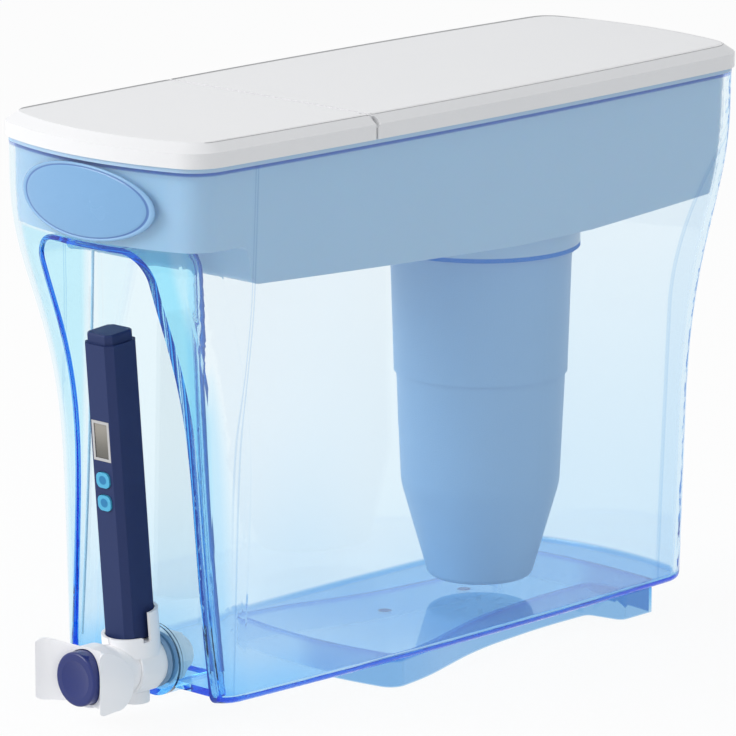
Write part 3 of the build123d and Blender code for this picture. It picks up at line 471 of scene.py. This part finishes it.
# Plain oval on the front of the tank: a raised plate of tinted plastic with a fine
# groove sunk just inside its edge, painted navy as its shade, and a bead round it.
oval_zone, zone_in, zone_out = node_group(
    "oval_zone", {"Centre": "Vector", "Scale": "Vector", "Inner": "Float", "Outer": "Float"}, {"Mask": "Float"})
zone = zone_in.outputs
zone_place = add_node(oval_zone, "TexCoord").outputs["Object"]
zone_from = add_node(oval_zone, "VectorMath", operation="SUBTRACT")
zone_scaled = add_node(oval_zone, "VectorMath", operation="MULTIPLY")
for node, first, second in ((zone_from, zone_place, zone["Centre"]),
                            (zone_scaled, zone_from.outputs[0], zone["Scale"])):
    feed(oval_zone, node.inputs[0], first)
    feed(oval_zone, node.inputs[1], second)
zone_length = add_node(oval_zone, "VectorMath", {"Vector": zone_scaled.outputs[0]}, operation="LENGTH")
feed(oval_zone, zone_out.inputs["Mask"], ease(oval_zone, zone_length.outputs["Value"], zone["Inner"], zone["Outer"]))


def oval_mask(tree, low, high, inner, outer):
    """Mask that rises from 0 inside the oval of a box, seen along Y, to 1 outside it."""
    scale = Vector((2 / (high.x - low.x), 0.0, 2 / (high.z - low.z)))
    mask = add_node(tree, "Group", node_tree=oval_zone)
    for socket, value in (("Centre", (low + high) / 2), ("Scale", scale), ("Inner", inner), ("Outer", outer)):
        feed(tree, mask.inputs[socket], value)
    return mask.outputs["Mask"]


def capped_rings(name, rows, material):
    """A closed mesh through rows of points, each row a ring, with a cap on the first and the last."""
    mesh = bmesh.new()
    rings = [[mesh.verts.new(spot) for spot in row] for row in rows]
    for ring, next_ring in zip(rings, rings[1:]):
        for step in range(len(ring)):
            after = (step + 1) % len(ring)
            mesh.faces.new((ring[step], ring[after], next_ring[after], next_ring[step]))
    mesh.faces.new(list(reversed(rings[0])))
    mesh.faces.new(rings[-1])
    bmesh.ops.recalc_face_normals(mesh, faces=mesh.faces)
    data = bpy.data.meshes.new(name)
    mesh.to_mesh(data)
    mesh.free()
    data.shade_smooth()
    data.materials.append(material)
    return add_object(name, data)


badge_half_width = 0.0415
badge_half_height = 0.0170
badge_middle_z = 0.2382
badge_low = Vector((-badge_half_width, -0.2, badge_middle_z - badge_half_height))
badge_high = Vector((badge_half_width, -0.17, badge_middle_z + badge_half_height))
badge_plastic = plastic("badge_plastic", (0.19, 0.385, 0.64), 0.26, tone_change=0.05)
badge_tree = badge_plastic.node_tree
# painted shade: the groove inside the oval's edge is coloured navy; the bead outside it is a little lighter than the
# plate
badge_color = blend_color(badge_tree, oval_mask(badge_tree, badge_low, badge_high, 0.895, 0.905),
                          surface_color(badge_plastic), (0.09, 0.20, 0.46))
badge_color = blend_color(badge_tree, oval_mask(badge_tree, badge_low, badge_high, 0.925, 0.940),
                          badge_color, (0.24, 0.44, 0.69))
paint(badge_plastic, badge_color)
millimetre = 0.001
before_tank_y = -0.25
# each ring's share of the oval's half size, and its height over the tank's skin in millimetres
badge_rings = [(0.03, 0.40), (0.25, 0.40), (0.50, 0.40), (0.72, 0.40), (0.86, 0.40), (0.895, 0.36), (0.91, 0.12),
               (0.925, 0.12), (0.94, 0.40), (0.955, 0.55), (0.97, 0.55), (0.985, 0.38), (1.0, 0.10), (1.0, 0.02),
               (0.5, 0.02)]
badge_steps = 96
badge_rows = []
for share, lift in badge_rings:
    row = []
    for step in range(badge_steps):
        turn = 2 * math.pi * step / badge_steps
        x = share * badge_half_width * math.cos(turn)
        z = badge_middle_z + share * badge_half_height * math.sin(turn)
        skin, slope = tank_skin.ray_cast(Vector((x, before_tank_y, z)), Vector((0, 1, 0)))[:2]
        row.append(skin + slope * lift * millimetre)
    badge_rows.append(row)
badge_plate = capped_rings("badge_plate", badge_rows, badge_plastic)
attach(badge_plate, "tank")
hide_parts("front_badge")

# Lid: white polypropylene in two mouldings with a fine spark-eroded grain, the front
# one hinged on two short steel pins.
lid_plastic = plastic("lid_plastic", (0.80, 0.80, 0.81), 0.38, tone_change=0.03, grain_height=0.3)
lid_tree = lid_plastic.node_tree
lid_x, lid_y, lid_z = place_in(lid_tree)
# the flat top is sunk a little inside a narrow border that follows the lid's bowed outline
lid_half_width, lid_half_length = 0.0686, 0.1930
side_bow, side_bow_y = 0.0049, 0.175
end_bow, end_bow_x = 0.0094, 0.063
lid_along = calculate(lid_tree, "POWER", calculate(lid_tree, "DIVIDE", lid_y, side_bow_y), 2.0)
lid_aside = calculate(lid_tree, "ADD", calculate(lid_tree, "ABSOLUTE", lid_x),
                      calculate(lid_tree, "MULTIPLY", lid_along, side_bow))
lid_across = calculate(lid_tree, "POWER", calculate(lid_tree, "DIVIDE", lid_x, end_bow_x), 2.0)
lid_ahead = calculate(lid_tree, "ADD", lid_y, calculate(lid_tree, "MULTIPLY", lid_across, end_bow))
corner_round = 0.012
lid_border = calculate(lid_tree, "SMOOTH_MAX", calculate(lid_tree, "SUBTRACT", lid_aside, lid_half_width),
                       calculate(lid_tree, "SUBTRACT", lid_ahead, lid_half_length), corner_round)
lid_flat = ease(lid_tree, lid_z, 0.2688, 0.2690)
lid_step = overlap(lid_tree, ease(lid_tree, lid_border, -0.0068, -0.0058), lid_flat)
lid_normal = shader_of(lid_plastic).inputs["Normal"]
lid_bump = add_node(lid_tree, "Bump", {"Strength": 1.0, "Distance": 0.0012, "Height": lid_step,
                                       "Normal": lid_normal.links[0].from_socket})
lid_tree.links.new(lid_bump.outputs["Normal"], lid_normal)
# painted shade in the step's corner on the far side, away from the key light
lid_step_shade = overlap(lid_tree, ease(lid_tree, lid_border, -0.0086, -0.0072),
                     fall(lid_tree, lid_border, -0.0058, -0.0050), fall(lid_tree, lid_x, -0.05, -0.03), lid_flat)
paint(lid_plastic, stain(lid_tree, surface_color(lid_plastic), lid_step_shade, (0.46, 0.46, 0.47)))
finish(lid_plastic, "lid_rear", "lid_flap")
pin_steel = plastic("pin_steel", (0.60, 0.61, 0.63), 0.28, own={"Metallic": 1.0})
finish(pin_steel, "hinge_pins")

# Filter: a matt light-blue polypropylene housing welded at its middle, with a soft
# blue ring that seals it under the reservoir.
finish(plastic("housing_plastic", (0.27, 0.47, 0.72), 0.45, tone_change=0.05, grain_height=0.3),
       "filter_upper_shell", "filter_lower_shell")
finish(plastic("seal_rubber", (0.0, 0.20, 0.64), 0.6, own={"Specular IOR Level": 0.1}), "filter_gasket")

# Filter's insides: a moulded screen over a foam disc, a bed of black carbon grains,
# a bed of amber resin beads, and a fine white disc over the outlet.
finish(plastic("screen_plastic", (0.25, 0.45, 0.70), 0.4), "filter_screen")
for name, node, color, roughness, tone_change, grain_scale in (
        ("foam", "flow_spreader", (0.75, 0.76, 0.72), 0.9, 0.3, 900.0),
        ("carbon", "carbon_bed", (0.02, 0.02, 0.022), 0.8, 0.5, 900.0),
        ("resin", "resin_bed", (0.45, 0.28, 0.10), 0.35, 0.4, 1200.0)):
    finish(plastic(name, color, roughness, tone_change=tone_change, grain_scale=grain_scale, grain_height=1.0), node)
finish(plastic("membrane", (0.80, 0.80, 0.78), 0.8, tone_change=0.1, grain_scale=2500.0), "outlet_membrane")

# Tap: white acetal body with its spout and finger grip in one moulding, a navy push
# button, rubber washers on both sides of the tank's wall and a nut inside.
finish(plastic("tap_plastic", (0.97, 0.965, 0.975), 0.30, tone_change=0.02),
       "tap_body", "tap_nut", "valve_stem", "meter_holder")
finish(plastic("washer_rubber", (0.27, 0.40, 0.56), 0.55), "outer_washer", "inner_washer", "valve_seal")
finish(plastic("button_plastic", (0.008, 0.020, 0.15), 0.30, tone_change=0.08), "push_button")

# Return spring: round stainless wire wound in four open turns with a closed turn at each end. It stands
# between the tap's bulkhead and the button, and closes up as the button goes in.
spring_steel = plastic("spring_steel", (0.62, 0.62, 0.63), 0.25, own={"Metallic": 1.0})
spring_low, spring_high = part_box("return_spring")
wire_radius, wire_sides = 0.0005, 10
open_turns, closed_turns, turn_steps = 4, 2, 40
coil_radius = (spring_high.x - spring_low.x) / 2 - wire_radius
coil_length = spring_high.y - spring_low.y - 2 * wire_radius
coil_z = (spring_low.z + spring_high.z) / 2
closed_pitch = 2.1 * wire_radius
open_pitch = (coil_length - closed_turns * closed_pitch) / open_turns
coil_rows = []
for step in range((open_turns + closed_turns) * turn_steps + 1):
    turns = step / turn_steps
    opened = min(max(turns - closed_turns / 2, 0.0), open_turns)
    coil_y = spring_low.y + wire_radius + opened * open_pitch + (turns - opened) * closed_pitch
    outward = Vector((math.cos(2 * math.pi * turns), 0.0, math.sin(2 * math.pi * turns)))
    middle = Vector((0.0, coil_y, coil_z)) + outward * coil_radius
    row = []
    for side in range(wire_sides):
        around = 2 * math.pi * side / wire_sides
        row.append(middle + (outward * math.cos(around) + Vector((0, 1, 0)) * math.sin(around)) * wire_radius)
    coil_rows.append(row)
spring_coil = capped_rings("spring_coil", coil_rows, spring_steel)
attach(spring_coil, "tank")
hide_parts("return_spring")
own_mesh(spring_coil)

# Meter: a navy ABS pen in a casing, probe cap and battery cap, with a grey liquid
# crystal window in a silver frame and two light-blue keys.
finish(plastic("meter_plastic", (0.017, 0.032, 0.115), 0.48, tone_change=0.08, own={"Specular IOR Level": 0.25}),
       "meter_casing", "probe_cap", "battery_cap")
finish(plastic("bezel_metal", (0.55, 0.55, 0.56), 0.35, own={"Metallic": 0.8}), "display_bezel")
window_glass = plastic("window_glass", (1.0, 1.0, 1.0), 0.15, tone_change=0.2)
window_tree = window_glass.node_tree
window_low, window_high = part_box("display_screen")
# painted reflection: the grey window is lighter towards its top
window_reflection = ease(window_tree, place_in(window_tree)["Z"], window_low.z, window_high.z)
window_color = blend_color(window_tree, window_reflection, (0.12, 0.115, 0.10), (0.30, 0.28, 0.245))
paint(window_glass, stain(window_tree, window_color, 1.0, surface_color(window_glass)))
finish(window_glass, "display_screen")
for key in ("power_button", "hold_button"):
    key_rubber = plastic(key + "_rubber", (0.004, 0.19, 0.42), 0.4)
    key_tree = key_rubber.node_tree
    key_low, key_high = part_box(key)
    key_ring = oval_mask(key_tree, key_low, key_high, 0.50, 0.62)
    paint(key_rubber, blend_color(key_tree, key_ring, surface_color(key_rubber), (0.07, 0.42, 0.66)))
    finish(key_rubber, key)

# Meter's insides: two steel probes under its cap, a green circuit board and two
# nickel-plated button cells.
finish(pin_steel, "meter_probes")
finish(plastic("board", (0.03, 0.18, 0.08), 0.4), "circuit_board")
finish(plastic("cell_steel", (0.65, 0.65, 0.64), 0.3, own={"Metallic": 1.0}), "button_cells")
